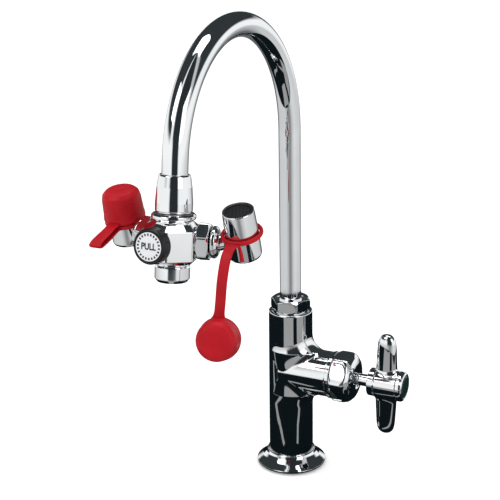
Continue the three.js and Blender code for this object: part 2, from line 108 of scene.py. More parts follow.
def placed(x=0.0, y=0.0, z=0.0):
    return Matrix.Translation(Vector((x, y, z)) * MM)


ALONG_X = Matrix.Rotation(math.pi / 2, 4, "Y")
TO_FRONT = Matrix.Rotation(math.pi / 2, 4, "X")
DECK = placed()
VALVE = placed(z=VALVE_Z) @ ALONG_X
LEG = placed(
    y=-ARCH_R - ARCH_R * math.cos(ARCH_LEAN),
    z=RISER_TOP + ARCH_R * math.sin(ARCH_LEAN),
) @ Matrix.Rotation(-ARCH_LEAN, 4, "X")
KNOB = LEG @ placed(z=-KNOB_LEVEL) @ TO_FRONT


def arm_place(side):
    axis = Vector((SIGN[side], math.tan(SWEEP), 0)).normalized()
    turn = Vector((0, 0, 1)).rotation_difference(axis).to_matrix().to_4x4()
    return LEG @ placed(z=-ARM_LEVEL) @ turn


def head_place(side):
    return LEG @ placed(SIGN[side] * PIVOT.x, PIVOT.y, PIVOT.z) @ Matrix.Rotation(HEAD_LEAN[side], 4, "X")


# ---- materials -----------------------------------------------------------------------------------------


def fill_ramp(node, stops):
    """Sets a colour ramp's stops from (place, colour) pairs."""
    band = node.color_ramp
    while len(band.elements) < len(stops):
        band.elements.new(0.5)
    for element, (place, colour) in zip(band.elements, stops):
        element.position = place
        element.color = (*colour, 1)


class Nodes:
    """A small helper that adds and links shader nodes."""

    def __init__(self, name):
        self.material = bpy.data.materials.new(name)
        self.material.use_nodes = True
        self.tree = self.material.node_tree
        self.shader = self.tree.nodes["Principled BSDF"]
        self.coordinate = self.add("ShaderNodeTexCoord")

    def add(self, kind, **settings):
        node = self.tree.nodes.new(kind)
        for key, value in settings.items():
            if key in node.inputs:
                node.inputs[key].default_value = value
            else:
                setattr(node, key, value)
        return node

    def link(self, source, target):
        self.tree.links.new(source, target)

    def set(self, **values):
        for key, value in values.items():
            self.shader.inputs[key.replace("_", " ")].default_value = value

    def noise(self, scale, detail=3.0, stretch=(1, 1, 1)):
        mapping = self.add("ShaderNodeMapping")
        mapping.inputs["Scale"].default_value = stretch
        self.link(self.coordinate.outputs["Object"], mapping.inputs["Vector"])
        noise = self.add("ShaderNodeTexNoise", Scale=scale, Detail=detail)
        self.link(mapping.outputs["Vector"], noise.inputs["Vector"])
        return noise.outputs["Fac"]

    def spread(self, source, low, high, start=0.3, end=0.7):
        span = self.add("ShaderNodeMapRange")
        for name, value in (("From Min", start), ("From Max", end), ("To Min", low), ("To Max", high)):
            span.inputs[name].default_value = value
        self.link(source, span.inputs["Value"])
        return span.outputs["Result"]

    def colours(self, source, stops):
        ramp = self.add("ShaderNodeValToRGB")
        fill_ramp(ramp, stops)
        self.link(source, ramp.inputs["Fac"])
        return ramp.outputs["Color"]

    def bump(self, source, strength, distance):
        bump = self.add("ShaderNodeBump", Strength=strength, Distance=distance)
        self.link(source, bump.inputs["Height"])
        self.link(bump.outputs["Normal"], self.shader.inputs["Normal"])


def chrome_finish():
    """Bright chrome plate: a mirror with faint casting waves and a thin haze of handling marks."""
    n = Nodes("chrome_plate")
    n.set(Metallic=1.0)
    tint = n.colours(n.noise(45), [(0.3, (0.88, 0.90, 0.91)), (0.7, (0.94, 0.95, 0.955))])
    n.link(tint, n.shader.inputs["Base Color"])
    n.link(n.spread(n.noise(160, 5), 0.03, 0.085, 0.42, 0.75), n.shader.inputs["Roughness"])
    n.bump(n.noise(55, 1), 0.10, 0.0003)
    return n.material


def brass_finish():
    """Machined brass with fine turning lines across the piece's axis."""
    n = Nodes("machined_brass")
    n.set(Metallic=1.0)
    tint = n.colours(n.noise(120), [(0.3, (0.50, 0.36, 0.15)), (0.7, (0.62, 0.47, 0.22))])
    n.link(tint, n.shader.inputs["Base Color"])
    n.link(n.spread(n.noise(400, 4), 0.22, 0.42), n.shader.inputs["Roughness"])
    n.bump(n.noise(900, 2, (0.05, 0.05, 4)), 0.15, 0.0001)
    return n.material


def steel_finish():
    n = Nodes("satin_steel")
    n.set(Metallic=1.0)
    tint = n.colours(n.noise(150), [(0.3, (0.42, 0.43, 0.44)), (0.7, (0.55, 0.56, 0.57))])
    n.link(tint, n.shader.inputs["Base Color"])
    n.link(n.spread(n.noise(500, 4), 0.25, 0.4), n.shader.inputs["Roughness"])
    n.bump(n.noise(800, 2, (1, 1, 0.1)), 0.12, 0.0001)
    return n.material


def vinyl_finish():
    """Soft red vinyl: even colour with slight mottling, low sheen and a faint moulded surface."""
    n = Nodes("red_vinyl")
    n.set(Subsurface_Weight=0.06, Subsurface_Scale=0.002, Specular_IOR_Level=0.2)
    tint = n.colours(n.noise(70, 4), [(0.3, (0.40, 0.002, 0.008)), (0.7, (0.50, 0.004, 0.013))])
    n.link(tint, n.shader.inputs["Base Color"])
    n.link(n.spread(n.noise(260, 4), 0.36, 0.52), n.shader.inputs["Roughness"])
    n.bump(n.noise(420, 4), 0.10, 0.0002)
    return n.material


def rubber_finish():
    n = Nodes("black_rubber")
    tint = n.colours(n.noise(200), [(0.3, (0.010, 0.010, 0.011)), (0.7, (0.022, 0.022, 0.023))])
    n.link(tint, n.shader.inputs["Base Color"])
    n.link(n.spread(n.noise(500, 4), 0.6, 0.85), n.shader.inputs["Roughness"])
    n.bump(n.noise(900, 4), 0.25, 0.0001)
    return n.material


def plastic_finish(name, low, high, roughness):
    """Moulded plastic with a fine satin grain."""
    n = Nodes(name)
    n.link(n.colours(n.noise(180), [(0.3, low), (0.7, high)]), n.shader.inputs["Base Color"])
    n.link(n.spread(n.noise(600, 4), roughness, roughness + 0.14), n.shader.inputs["Roughness"])
    n.bump(n.noise(1500, 3), 0.10, 0.0001)
    return n.material


def screen_finish():
    """A dark outlet screen: fine parallel slots, seen as ribs with dark gaps."""
    n = Nodes("outlet_screen")
    turn = n.add("ShaderNodeMapping")
    turn.inputs["Rotation"].default_value = (0, 0, math.radians(-26))
    n.link(n.coordinate.outputs["Object"], turn.inputs["Vector"])
    wave = n.add("ShaderNodeTexWave", Scale=360.0, Distortion=0.0)
    n.link(turn.outputs["Vector"], wave.inputs["Vector"])
    tint = n.colours(wave.outputs["Fac"], [(0.35, (0.003, 0.004, 0.004)), (0.65, (0.040, 0.044, 0.048))])
    n.link(tint, n.shader.inputs["Base Color"])
    n.link(n.spread(n.noise(500), 0.3, 0.5), n.shader.inputs["Roughness"])
    n.bump(wave.outputs["Fac"], 0.8, 0.0006)
    return n.material


def label_finish():
    """A printed white disc with a dark rim and a ring of plain short marks."""
    n = Nodes("printed_label")
    split = n.add("ShaderNodeSeparateXYZ")
    n.link(n.coordinate.outputs["Object"], split.inputs["Vector"])
    flat = n.add("ShaderNodeCombineXYZ")
    n.link(split.outputs["X"], flat.inputs["X"])
    n.link(split.outputs["Y"], flat.inputs["Y"])
    length = n.add("ShaderNodeVectorMath", operation="LENGTH")
    n.link(flat.outputs["Vector"], length.inputs[0])
    radius = n.spread(length.outputs["Value"], 0, 1, 0, LABEL_R * MM)
    angle = n.add("ShaderNodeMath", operation="ARCTAN2")
    n.link(split.outputs["Y"], angle.inputs[0])
    n.link(split.outputs["X"], angle.inputs[1])
    turns = n.add("ShaderNodeMath", operation="MULTIPLY")
    turns.inputs[1].default_value = 22.0
    n.link(angle.outputs[0], turns.inputs[0])
    teeth = n.add("ShaderNodeMath", operation="SINE")
    n.link(turns.outputs[0], teeth.inputs[0])
    dashes = n.colours(teeth.outputs[0], [(0.0, (0.035, 0.035, 0.04)), (0.25, (0.8, 0.81, 0.83))])
    paper = n.colours(n.noise(300), [(0.3, (0.76, 0.775, 0.80)), (0.7, (0.84, 0.85, 0.87))])
    inner = n.add("ShaderNodeMix", data_type="RGBA")
    band = n.colours(radius, [
        (0.0, (0, 0, 0)), (0.73, (0, 0, 0)), (0.74, (1, 1, 1)), (0.89, (1, 1, 1)), (0.90, (0, 0, 0)),
    ])
    n.link(band, inner.inputs[0])
    n.link(paper, inner.inputs[6])
    n.link(dashes, inner.inputs[7])
    rim = n.add("ShaderNodeMix", data_type="RGBA")
    edge = n.colours(radius, [(0.0, (0, 0, 0)), (0.97, (0, 0, 0)), (0.98, (1, 1, 1))])
    n.link(edge, rim.inputs[0])
    n.link(inner.outputs[2], rim.inputs[6])
    rim.inputs[7].default_value = (0.02, 0.02, 0.022, 1)
    n.link(rim.outputs[2], n.shader.inputs["Base Color"])
    n.link(n.spread(n.noise(500), 0.4, 0.55), n.shader.inputs["Roughness"])
    return n.material


CHROME = chrome_finish()
BRASS = brass_finish()
STEEL = steel_finish()
RUBBER = rubber_finish()
VINYL = vinyl_finish()
BLACK = plastic_finish("black_plastic", (0.003, 0.004, 0.004), (0.007, 0.008, 0.009), 0.30)
GREEN = plastic_finish("green_plastic", (0.005, 0.022, 0.019), (0.009, 0.034, 0.030), 0.22)
SCREEN = screen_finish()
BEZEL = plastic_finish("dark_bezel", (0.010, 0.012, 0.013), (0.018, 0.021, 0.022), 0.25)
LABEL = label_finish()
FINISH = {
    "chrome": CHROME, "brass": BRASS, "steel": STEEL, "rubber": RUBBER, "red_vinyl": VINYL,
    "black_plastic": BLACK, "green_plastic": GREEN, "label": LABEL,
}

# ---- mesh helpers --------------------------------------------------------------------------------------


def mesh_piece(name, vertices, faces, finish, place=DECK):
    """A smooth mesh from points in millimetres. The place is worked into the points, except that
    printed and slotted faces keep their own axes for their patterns."""
    own_axes = finish in (LABEL, SCREEN)
    stand = Matrix() if own_axes else place
    mesh = bpy.data.meshes.new(name)
    mesh.from_pydata([stand @ (Vector(v) * MM) for v in vertices], [], faces)
    mesh.polygons.foreach_set("use_smooth", [True] * len(mesh.polygons))
    mesh.materials.append(finish)
    piece = bpy.data.objects.new(name, mesh)
    scene.collection.objects.link(piece)
    piece.matrix_world = place if own_axes else Matrix()
    return piece


def rounded(profile):
    """The profile's (radius, height, corner) points, with each corner turned into a small arc."""
    points = []
    last = len(profile) - 1
    for i, (r, z, corner) in enumerate(profile):
        here = Vector((r, z))
        if corner == 0:
            points.append(here)
            continue
        before = Vector(profile[i - 1][:2]) - here
        after = Vector(profile[0 if i == last else i + 1][:2]) - here
        half = before.angle(after) / 2
        reach = min(corner / math.tan(half), 0.45 * before.length, 0.45 * after.length)
        start = here + before.normalized() * reach
        end = here + after.normalized() * reach
        for k in range(ROUND_STEPS + 1):
            t = k / ROUND_STEPS
            points.append(start * (1 - t) ** 2 + here * 2 * t * (1 - t) + end * t * t)
    return points


def polar(name, profile_at, finish, place, segments):
    """A body about +Z with the outline profile_at(angle), from low to high along the outside."""
    columns = [rounded(profile_at(2 * math.pi * i / segments)) for i in range(segments)]
    rows = len(columns[0])
    vertices = []
    index = []
    for k in range(rows):
        if columns[0][k].x < 1e-6:
            index.append([len(vertices)] * segments)
            vertices.append((0, 0, columns[0][k].y))
            continue
        index.append(list(range(len(vertices), len(vertices) + segments)))
        for i, column in enumerate(columns):
            angle = 2 * math.pi * i / segments
            vertices.append((column[k].x * math.cos(angle), column[k].x * math.sin(angle), column[k].y))
    closed = columns[0][0].x > 1e-6
    faces = []
    for k in range(rows if closed else rows - 1):
        low, high = index[k], index[(k + 1) % rows]
        for i in range(segments):
            j = (i + 1) % segments
            corners = [low[i], low[j], high[j], high[i]]
            faces.append(list(dict.fromkeys(corners)))
    piece = mesh_piece(name, vertices, faces, finish, place)
    piece.modifiers.new("even_normals", "WEIGHTED_NORMAL")
    return piece


def turned(name, profile, finish, place=DECK):
    return polar(name, lambda angle: profile, finish, place, TURNED_STEPS)


def tube_faces(rings, sides):
    """Faces of a closed tube whose points run round each ring in turn."""
    faces = []
    for k in range(rings):
        for i in range(sides):
            j = (i + 1) % sides
            faces.append([k * sides + i, k * sides + j, (k + 1) * sides + j, (k + 1) * sides + i])
    faces.append(list(range(sides))[::-1])
    faces.append([rings * sides + i for i in range(sides)])
    return faces


def hex_radius(angle, across_flats, sharpness=34):
    """Radius of a hexagon with softly rounded corners."""
    total = 0.0
    for k in range(6):
        total += max(0.0, math.cos(angle - k * math.pi / 3)) ** sharpness
    return across_flats / 2 * total ** (-1 / sharpness)


def hex_nut(name, across_flats, low, high, bore, finish, place, chamfer=1.2):
    """A hex nut with chamfered corners and a bore."""
    flat = across_flats / 2
    corner_rise = 0.116
    slope = chamfer / (corner_rise * flat)

    def profile_at(angle):
        radius = hex_radius(angle, across_flats)
        drop = slope * (radius - flat) + 0.25
        return [
            (bore, low, 0), (flat - 0.35, low, 0.3), (radius, low + drop, 0.4),
            (radius, high - drop, 0.4), (flat - 0.35, high, 0.3), (bore, high, 0),
        ]

    return polar(name, profile_at, finish, place, HEX_STEPS)


def ring_loop(name, radius, across, through, level, finish, place):
    """A ring with an oval section."""
    steps = 20
    profile = []
    for k in range(steps):
        angle = 2 * math.pi * k / steps - math.pi / 2
        profile.append((radius + across * math.cos(angle), level + through * math.sin(angle), 0))
    return turned(name, profile, finish, place)


def dress(piece, node, extra=False):
    """The piece rides with its CAD node's body and, unless it is an extra, stands for it."""
    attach(piece, BODY_OF[node])
    if not extra:
        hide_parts(node)


# ---- cast bodies: smooth unions, worked out as a distance to the surface -------------------------------


def round_cylinder(p, axis, radius, low, high, corner):
    """Distance to a cylinder along one axis through the origin, with a rounded rim."""
    along = p[:, axis]
    across = np.sqrt((p ** 2).sum(1) - along ** 2)
    side = across - radius + corner
    end = np.abs(along - (low + high) / 2) - (high - low) / 2 + corner
    outside = np.hypot(np.maximum(side, 0), np.maximum(end, 0))
    return np.minimum(np.maximum(side, end), 0) + outside - corner


def soft_min(a, b, reach):
    """The smaller distance, with a fillet where both are within reach."""
    near = np.maximum(reach - np.abs(a - b), 0) / np.maximum(reach, 1e-6)
    return np.minimum(a, b) - near * near * reach / 4


def slope_of(distance, p):
    step = 0.05
    slope = np.zeros_like(p)
    for axis in range(3):
        shift = np.zeros(3)
        shift[axis] = step
        slope[:, axis] = (distance(p + shift) - distance(p - shift)) / (2 * step)
    return slope


def rough_rod(name, radius, low, high, place=DECK):
    return turned(name, [(0, low, 0), (radius, low, 0), (radius, high, 0), (0, high, 0)], CHROME, place)


def cast_body(name, rough_pieces, distance, finish, place, cell):
    """Joins rough closed pieces by voxels, then settles every point on the exact smooth surface."""
    bpy.ops.object.select_all(action="DESELECT")
    for rough in rough_pieces:
        rough.select_set(True)
    bpy.context.view_layer.objects.active = rough_pieces[0]
    bpy.ops.object.join()
    joined = bpy.context.view_layer.objects.active
    joined.modifiers.clear()
    remesh = joined.modifiers.new("voxels", "REMESH")
    remesh.mode = "VOXEL"
    remesh.voxel_size = cell * MM
    bpy.context.view_layer.update()
    made = joined.evaluated_get(bpy.context.evaluated_depsgraph_get()).to_mesh()
    points = np.empty(len(made.vertices) * 3)
    made.vertices.foreach_get("co", points)
    points = points.reshape(-1, 3) / MM
    faces = [list(face.vertices) for face in made.polygons]
    edges = np.array([list(edge.vertices) for edge in made.edges])
    bpy.data.objects.remove(joined)
    count = np.bincount(edges.ravel(), minlength=len(points))[:, None]
    for turn in range(SETTLE_TURNS):
        if turn < SMOOTH_TURNS:
            total = np.zeros_like(points)
            np.add.at(total, edges[:, 0], points[edges[:, 1]])
            np.add.at(total, edges[:, 1], points[edges[:, 0]])
            points = points * 0.5 + 0.5 * total / count
        slope = slope_of(distance, points)
        gap = distance(points)[:, None]
        points = points - gap * slope / np.maximum((slope ** 2).sum(1), 0.05)[:, None]
    normals = slope_of(distance, points)
    normals /= np.linalg.norm(normals, axis=1)[:, None]
    piece = mesh_piece(name, points.tolist(), faces, finish, place)
    piece.data.normals_split_custom_set_from_vertices(normals.tolist())
    return piece


# ---- deck mounting and column --------------------------------------------------------------------------


def deck_mounting():
    dress(turned("deck_gasket_visual", [
        (11.8, 0, 0), (25, 0, 0.2), (25, 1.2, 0.4), (11.8, 1.2, 0),
    ], RUBBER), "deck_gasket")
    dress(turned("base_flange_visual", [
        (18.3, 1.5, 0), (27.9, 1.5, 0.3), (28.4, 2.1, 0.4), (28.4, 3.2, 0.6), (26.4, 4.7, 1.6),
        (23.2, 7.0, 6), (20.6, 10.2, 4), (19.6, 12.4, 0.9), (18.3, 12.9, 0),
    ], CHROME), "base_flange")
    shank = [(6, -58, 0), (9.2, -58, 0.2), (10.3, -57, 0)]
    pitch = 1.4
    level = -56.6
    while level < -1:
        shank += [(10.4, level, 0), (9.7, level + pitch / 2, 0)]
        level += pitch
    shank += [(10.4, 0, 0), (10.4, 13.4, 0), (6, 13.4, 0)]
    dress(turned("mounting_shank_visual", shank, BRASS), "mounting_shank")
    dress(turned("deck_washer_visual", [
        (10.7, -34.5, 0), (22, -34.5, 0.4), (22, -32, 0.4), (10.7, -32, 0),
    ], STEEL), "deck_washer")
    dress(hex_nut("shank_locknut_visual", 33, -43.8, -34.8, 10.7, BRASS, DECK), "shank_locknut")


def column_distance(p):
    """The column, slightly slimmer towards its top, with a fillet to the valve branch above and below it."""
    column = round_cylinder(p, 2, COLUMN_R, COLUMN_LOW, COLUMN_TOP, 1.3)
    column = column + np.clip((p[:, 2] - 40) / 95, 0, 1) * 0.4
    local = p - np.array([0, 0, VALVE_Z])
    branch = round_cylinder(local, 0, BRANCH_R, -4, BRANCH_END, 0.5)
    reach = 13.5 * np.clip(np.abs(local[:, 2]) / BRANCH_R, 0, 1) ** 2
    return soft_min(column, branch, reach)


def column():
    rough = [
        rough_rod("rough_column", COLUMN_R, COLUMN_LOW, COLUMN_TOP),
        rough_rod("rough_branch", BRANCH_R, 0, BRANCH_END, VALVE),
    ]
    body = cast_body("column_cast", rough, column_distance, CHROME, DECK, 0.9)
    dress(body, "column_body")
    dress(turned("column_branch_rim", [
        (12, 35.6, 0), (18.2, 35.6, 0), (18.45, 36.5, 0.3), (19.05, BRANCH_END, 0.4), (19.05, 40, 0.5),
        (12, 40, 0),
    ], CHROME, VALVE), "column_body", extra=True)
    dress(turned("column_spigot", [
        (9, 130, 0), (11.5, 130, 0), (11.5, 141, 0.3), (9, 141, 0),
    ], CHROME), "column_body", extra=True)
    dress(hex_nut("swivel_nut_visual", 28.7, 135.2, 145, 8.75, CHROME, NUT_TURN, 1.4), "swivel_nut")


# ---- valve and handle ----------------------------------------------------------------------------------


def bonnet():
    """A hexagon under a domed limit, blended where the two cross."""
    limit = [
        (BONNET_LOW, 19.0), (41.2, 20.2), (42.2, 20.8), (50, 20.8), (53.4, 19.4), (56.2, 16.2),
        (57.5, 12.6), (BONNET_END, 10),
    ]
    neck = 5.1
    levels = np.linspace(BONNET_LOW, BONNET_END, 46)
    bounds = np.interp(levels, [z for z, r in limit], [r for z, r in limit])
    sharp = 40

    def profile_at(angle):
        flat = hex_radius(angle, 37)
        radii = (flat ** -sharp + bounds ** -sharp) ** (-1 / sharp)
        wall = [(float(radius), float(level), 0) for radius, level in zip(radii, levels)]
        return [(neck, BONNET_LOW, 0), *wall, (neck, BONNET_END, 0)]

    dress(polar("bonnet_visual", profile_at, CHROME, VALVE, HEX_STEPS), "bonnet")
    dress(turned("valve_stem_visual", [
        (0, 48, 0), (4.8, 48, 0), (4.8, 68.2, 0.2), (3.9, 68.4, 0), (3.9, 89.2, 0), (0, 89.2, 0),
    ], CHROME, VALVE), "valve_stem")


def handle_distance(p):
    """The hub, with a step near its inner end, joined to two flattened and tapered arms."""
    local = p - np.array([0, 0, VALVE_Z])
    hub = round_cylinder(local, 0, HUB_R, HUB_LOW, HUB_END, 1.0)
    hub = hub + np.clip((75.5 - local[:, 0]) / 1.5, 0, 1) * 0.7
    oval = local - np.array([HANDLE_X, 0, 0])
    oval[:, 1] /= ARM_FLATNESS
    height = np.abs(oval[:, 2])
    width = ARM_WIDTH - ARM_TAPER * np.minimum(height, ARM_REACH)
    across = np.hypot(oval[:, 0], oval[:, 1])
    arms = ((across / width) ** 2 + (height / ARM_REACH) ** 14 - 1) * width / 2
    return soft_min(hub, arms, 3.0)


def handle():
    arm_profile = [(0, 0, 0), (ARM_WIDTH, 0, 0), (7.9, 26, 0), (7.2, 34, 0), (4, 40.8, 0), (0, ARM_REACH, 0)]
    upright = placed(HANDLE_X, 0, VALVE_Z)
    rough = [rough_rod("rough_hub", HUB_R, HUB_LOW, HUB_END, VALVE)]
    for name, turn in (("rough_up", 0.0), ("rough_down", math.pi)):
        place = upright @ Matrix.Rotation(turn, 4, "X") @ Matrix.Diagonal((1, ARM_FLATNESS, 1, 1))
        rough.append(turned(name, arm_profile, CHROME, place))
    dress(cast_body("handle_cast", rough, handle_distance, CHROME, DECK, 0.7), "handle")
    dress(turned("handle_lip", [
        (9.1, 92.8, 0), (11.5, 92.8, 0), (HUB_R, HUB_END, 0.2), (HUB_R, 95.9, 1.2), (11.0, 97.3, 0.7),
        (9.8, 98, 0.3), (9.1, 97.6, 0.2),
    ], CHROME, VALVE), "handle", extra=True)
    dress(turned("index_button_visual", [
        (0, 95.4, 0), (8.9, 95.4, 0), (8.9, 97.4, 0.4), (7.6, 98.3, 0.8), (0, 98.4, 0),
    ], GREEN, VALVE), "index_button")


# ---- gooseneck -----------------------------------------------------------------------------------------


def gooseneck_point(s):
    """Centre of the tube and its forward direction at distance s from its lower end."""
    riser = RISER_TOP - TUBE_START
    sweep = math.pi - ARCH_LEAN
    if s < riser:
        return Vector((0, 0, TUBE_START + s)), Vector((0, 0, 1))
    angle = min((s - riser) / ARCH_R, sweep)
    past = max(s - riser - ARCH_R * sweep, 0)
    forward = Vector((0, -math.sin(angle), math.cos(angle)))
    middle = Vector((0, -ARCH_R + ARCH_R * math.cos(angle), RISER_TOP + ARCH_R * math.sin(angle)))
    return middle + forward * past, forward


def gooseneck():
    length = RISER_TOP - TUBE_START + ARCH_R * (math.pi - ARCH_LEAN) + OUTLET_LEG
    rings, sides = 190, 64
    vertices = []
    for k in range(rings + 1):
        middle, forward = gooseneck_point(length * k / rings)
        across = Vector((1, 0, 0))
        up = forward.cross(across)
        for i in range(sides):
            angle = 2 * math.pi * i / sides
            vertices.append(middle + (across * math.cos(angle) + up * math.sin(angle)) * TUBE_R)
    tube = mesh_piece("gooseneck_tube_visual", vertices, tube_faces(rings, sides), CHROME)
    dress(tube, "gooseneck_tube")


# ---- eyewash body --------------------------------------------------------------------------------------


def outline_radius(angle, sharpness=46):
    """The block's plan: a hexagon that narrows towards the front, with rounded corners."""
    half = [(6.4, -20.0), (18.4, -6.8), (12.0, 15.8)]
    corners = half + [(-x, y) for x, y in reversed(half)]
    total = 0.0
    for i, (ax, ay) in enumerate(corners):
        bx, by = corners[(i + 1) % len(corners)]
        normal = Vector((by - ay, ax - bx)).normalized()
        reach = normal.x * ax + normal.y * ay
        total += max(0.0, (math.cos(angle) * normal.x + math.sin(angle) * normal.y) / reach) ** sharpness
    return total ** (-1 / sharpness)


def eyewash_body():
    dress(turned("outlet_coupling_visual", [
        (8.6, -33, 0), (11.3, -33, 0.3), (12.2, -31.6, 1.0), (12.2, -26.4, 2.5), (11.4, -16.4, 5),
        (10.35, -9.6, 1.2), (9.7, -8.6, 0.4), (8.6, -8.6, 0),
    ], CHROME, LEG), "outlet_coupling")
    dress(turned("inlet_collar_visual", [
        (10.4, -37.6, 0), (13.2, -37.6, 0.3), (14.5, -36.5, 0.8), (14.5, -34.6, 0.8), (13.4, -33.3, 0.4),
        (10.4, -33.3, 0),
    ], CHROME, LEG), "inlet_collar")

    def profile_at(angle):
        radius = outline_radius(angle)
        return [
            (0, -66.5, 0), (11.4, -66.5, 0.3), (radius, -62.3, 0.9), (radius, -43.2, 0.9),
            (12.6, -37.9, 0.4), (0, -37.9, 0),
        ]

    dress(polar("eyewash_block", profile_at, CHROME, LEG, BLOCK_STEPS), "eyewash_body")
    dress(turned("outlet_shell_visual", [
        (8.2, -77.8, 0), (9.6, -77.8, 0.3), (11.45, -75.6, 1.2), (11.45, -68.0, 0.3), (10.9, -66.8, 0.2),
        (8.2, -66.8, 0),
    ], CHROME, LEG), "outlet_shell")
    dress(turned("outlet_screen_visual", [
        (0, -75.2, 0), (7.9, -75.2, 0.2), (7.9, -73.8, 0.2), (0, -73.8, 0),
    ], SCREEN, LEG), "outlet_screen")


def pull_knob():
    dress(turned("pull_knob_visual", [
        (0, 21.2, 0), (10.4, 21.2, 0.4), (11.4, 22.2, 0.5), (11.4, 29.2, 0.8), (10.8, 30.2, 0.5),
        (9.9, 30.4, 0.3), (9.6, 29.9, 0.2), (9.5, 29.7, 0), (0, 29.7, 0),
    ], BLACK, KNOB), "pull_knob")
    dress(turned("knob_label_visual", [
        (0, 29.75, 0), (LABEL_R, 29.75, 0), (LABEL_R, 30.2, 0.1), (0, 30.2, 0),
    ], LABEL, KNOB), "knob_label")
    words = bpy.data.curves.new("knob_word", "FONT")
    words.body = "PULL"
    words.size = 5.7 * MM
    words.align_x = "CENTER"
    words.align_y = "CENTER"
    words.extrude = 0.02 * MM
    words.offset = 0.2 * MM
    text = bpy.data.objects.new("knob_word", words)
    scene.collection.objects.link(text)
    words.materials.append(BLACK)
    text.matrix_world = KNOB @ placed(z=30.22) @ Matrix.Diagonal((0.84, 1, 1, 1))
    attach(text, BODY_OF["pull_knob"])


def arm(side):
    place = arm_place(side)
    dress(turned(f"{side}_boss", [
        (4.4, 10, 0), (8.2, 10, 0), (8.2, 20.4, 0.4), (4.4, 20.4, 0),
    ], CHROME, place), "eyewash_body", extra=True)
    nut = hex_nut(f"{side}_union_nut_visual", 22.6, 16.5, 24.6, 7.1, CHROME, place, 0.9)
    dress(nut, f"{side}_union_nut")
    dress(turned(f"{side}_arm_visual", [
        (3.2, 21.9, 0), (6.8, 21.9, 0), (6.8, 24.9, 0), (9, 24.9, 0.3), (10.4, 26.2, 1.2), (10.4, 28.1, 1.2),
        (8.8, 29.6, 0.6), (5.3, 30.1, 0.5), (5.2, 31.5, 0.4), (4.1, 33.9, 0.3), (3.2, 33.9, 0),
    ], CHROME, place), f"{side}_arm")


# ---- spray heads, caps and straps ----------------------------------------------------------------------


def spray_head(side):
    place = head_place(side)
    dress(turned(f"{side}_head_body_visual", [
        (0, -11, 0), (8.3, -11, 1.2), (10.4, -9.9, 1.0), (10.85, -8.4, 0.8), (10.9, 3.8, 0.3), (9, 4.0, 0),
        (0, 4, 0),
    ], CHROME, place), f"{side}_head_body")
    dress(turned(f"{side}_head_shell_visual", [
        (9.3, 4.3, 0), (10.6, 4.3, 0.2), (10.9, 4.8, 0.2), (10.3, 22.7, 0.3), (10.0, 23.2, 0.3),
        (9.5, 23.1, 0.2), (9.3, 22.6, 0.2), (9.3, 4.3, 0),
    ], CHROME, place), f"{side}_head_shell")
    dress(turned(f"{side}_head_screen_visual", [
        (0, 18.6, 0), (8.3, 18.6, 0.2), (8.3, 21.9, 0.2), (0, 22.0, 0),
    ], SCREEN, place), f"{side}_head_screen")
    dress(turned(f"{side}_screen_bezel", [
        (8.1, 21.0, 0), (9.2, 21.0, 0), (9.2, 22.6, 0), (9.8, 22.8, 0.1), (9.6, 23.2, 0.2), (8.3, 22.9, 0.2),
        (8.1, 22.2, 0),
    ], BEZEL, place), f"{side}_head_screen", extra=True)
    ring = ring_loop(f"{side}_cap_ring_visual", 12.4, 1.3, 1.55, RING_LEVEL[side], VINYL, place)
    dress(ring, f"{side}_cap_ring")


def dust_cap(name, place):
    """A soft thimble: its mouth has a thick rolled rim, and its crown is softly domed."""
    return turned(name, [
        (0, 19.0, 0), (7.0, 19.1, 1.5), (10.2, 17.6, 2.4), (11.5, 13.8, 4), (12.3, 1.2, 0.6),
        (12.5, 0.1, 0.5), (13.4, 0, 0.5), (13.85, 0.8, 0.6), (13.75, 2.4, 1.0), (13.4, 4.4, 2),
        (12.95, 14.2, 3), (12.2, 17.8, 2.4), (9.7, 20.2, 2.6), (5.4, 20.8, 3), (0, 20.8, 0),
    ], VINYL, place)


def smooth_route(points, samples):
    """A Catmull-Rom curve through the points."""
    points = [Vector(p) for p in points]
    points = [points[0] * 2 - points[1], *points, points[-1] * 2 - points[-2]]
    route = []
    spans = len(points) - 3
    for k in range(samples + 1):
        t = min(k / samples * spans, spans - 1e-6)
        i = int(t)
        t -= i
        a, b, c, d = points[i:i + 4]
        bend = (a * 2 - b * 5 + c * 4 - d) * t * t
        twist = (b * 3 - a - c * 3 + d) * t ** 3
        route.append((b * 2 + (c - a) * t + bend + twist) / 2)
    return route


def strap(name, points, width_at, thickness, place):
    """A flat strap with rounded edges. Its width keeps to the X direction of its place."""
    samples, sides = 90, 28
    route = smooth_route(points, samples)
    vertices = []
    across = Vector((1, 0, 0))
    for k, middle in enumerate(route):
        forward = route[min(k + 1, samples)] - route[max(k - 1, 0)]
        through = forward.cross(across).normalized()
        width = width_at(k / samples)
        for i in range(sides):
            angle = 2 * math.pi * i / sides
            x = math.copysign(abs(math.cos(angle)) ** 0.45, math.cos(angle)) * width / 2
            y = math.copysign(abs(math.sin(angle)) ** 0.75, math.sin(angle)) * thickness / 2
            vertices.append(middle + across * x + through * y)
    return mesh_piece(name, vertices, tube_faces(samples, sides), VINYL, place)


